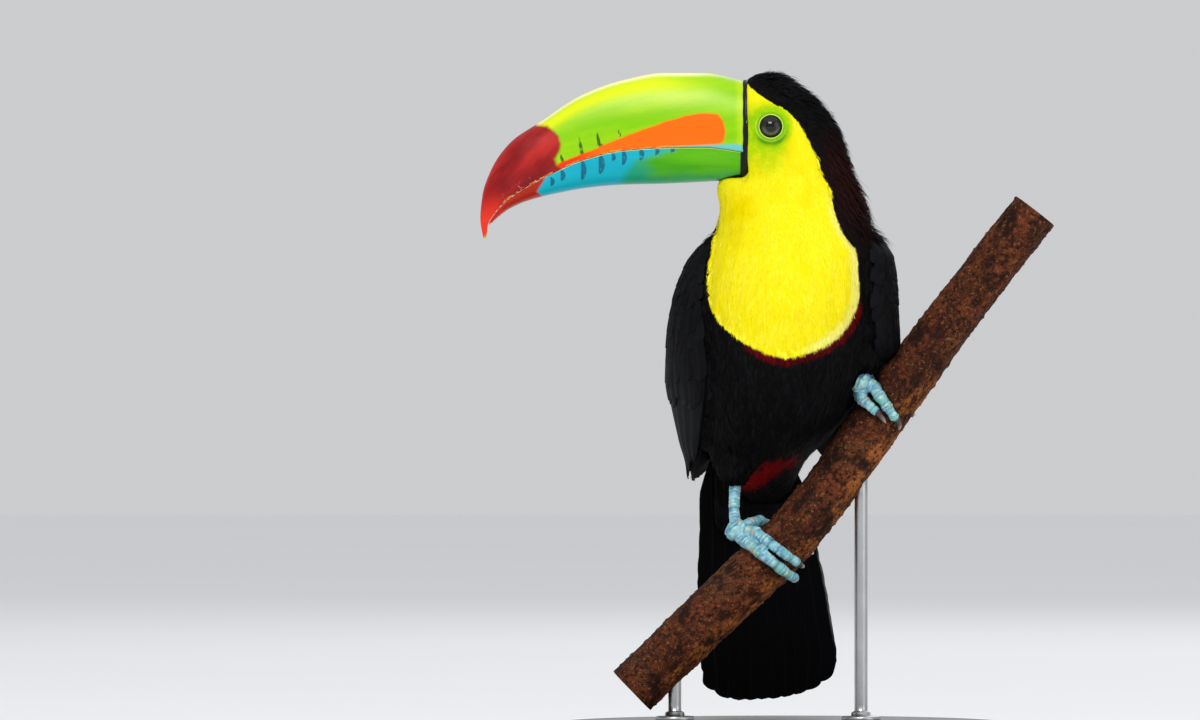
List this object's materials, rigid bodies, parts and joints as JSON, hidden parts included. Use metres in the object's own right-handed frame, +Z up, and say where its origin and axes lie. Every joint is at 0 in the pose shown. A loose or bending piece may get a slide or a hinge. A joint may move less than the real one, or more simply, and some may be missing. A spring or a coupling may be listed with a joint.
{
  "type": "keel-billed toucan model on a perch",
  "caption": "Life-size still toucan gripping a sloping cut branch, head turned to show its long keeled bill, on a round display base with slim rods.",
  "frame": {"origin": "centre of the stand base's underside, on the floor", "axes": "+Z up; the bird's chest faces -Y; its head is turned to its right, so the bill points to -X; the perch rises towards +X"},
  "size_m": [0.2648, 0.21, 0.3122],
  "materials": {
    "head_feather": "black crown and nape feathers over a yellow-green face",
    "throat_feather": "soft yellow feathers",
    "body_feather": "black body feathers with a yellow bib and a red edge",
    "wing_feather": "black wing feathers with a slight sheen",
    "tail_feather": "black tail feathers with a slight sheen",
    "bill_upper_horn": "satin horn, green with an orange patch and a red tip",
    "bill_lower_horn": "satin horn, blue and green with a red tip",
    "eye": "wet gloss, dark brown iris and black pupil",
    "foot_skin": "scaly blue-grey skin",
    "claw_horn": "dark horn",
    "bark": "rough red-brown bark, pale sawn ends",
    "stand_wood": "dark satin lacquer",
    "stand_steel": "brushed"
  },
  "bodies": {
    "root": {"bill_lower": "bill_lower_horn", "bill_upper": "bill_upper_horn", "claw_left_fourth": "claw_horn", "claw_left_hind": "claw_horn", "claw_left_inner": "claw_horn", "claw_left_outer": "claw_horn", "claw_right_fourth": "claw_horn", "claw_right_hind": "claw_horn", "claw_right_inner": "claw_horn", "claw_right_outer": "claw_horn", "eye_left": "eye", "eye_right": "eye", "foot_left": "foot_skin", "foot_right": "foot_skin", "head": "head_feather", "neck": "throat_feather", "perch_branch": "bark", "stand_base": "stand_wood", "stand_rod_high": "stand_steel", "stand_rod_low": "stand_steel", "tail": "tail_feather", "thigh_left": "body_feather", "thigh_right": "body_feather", "trunk": "body_feather", "wing_left": "wing_feather", "wing_right": "wing_feather"}
  },
  "joints": []
}
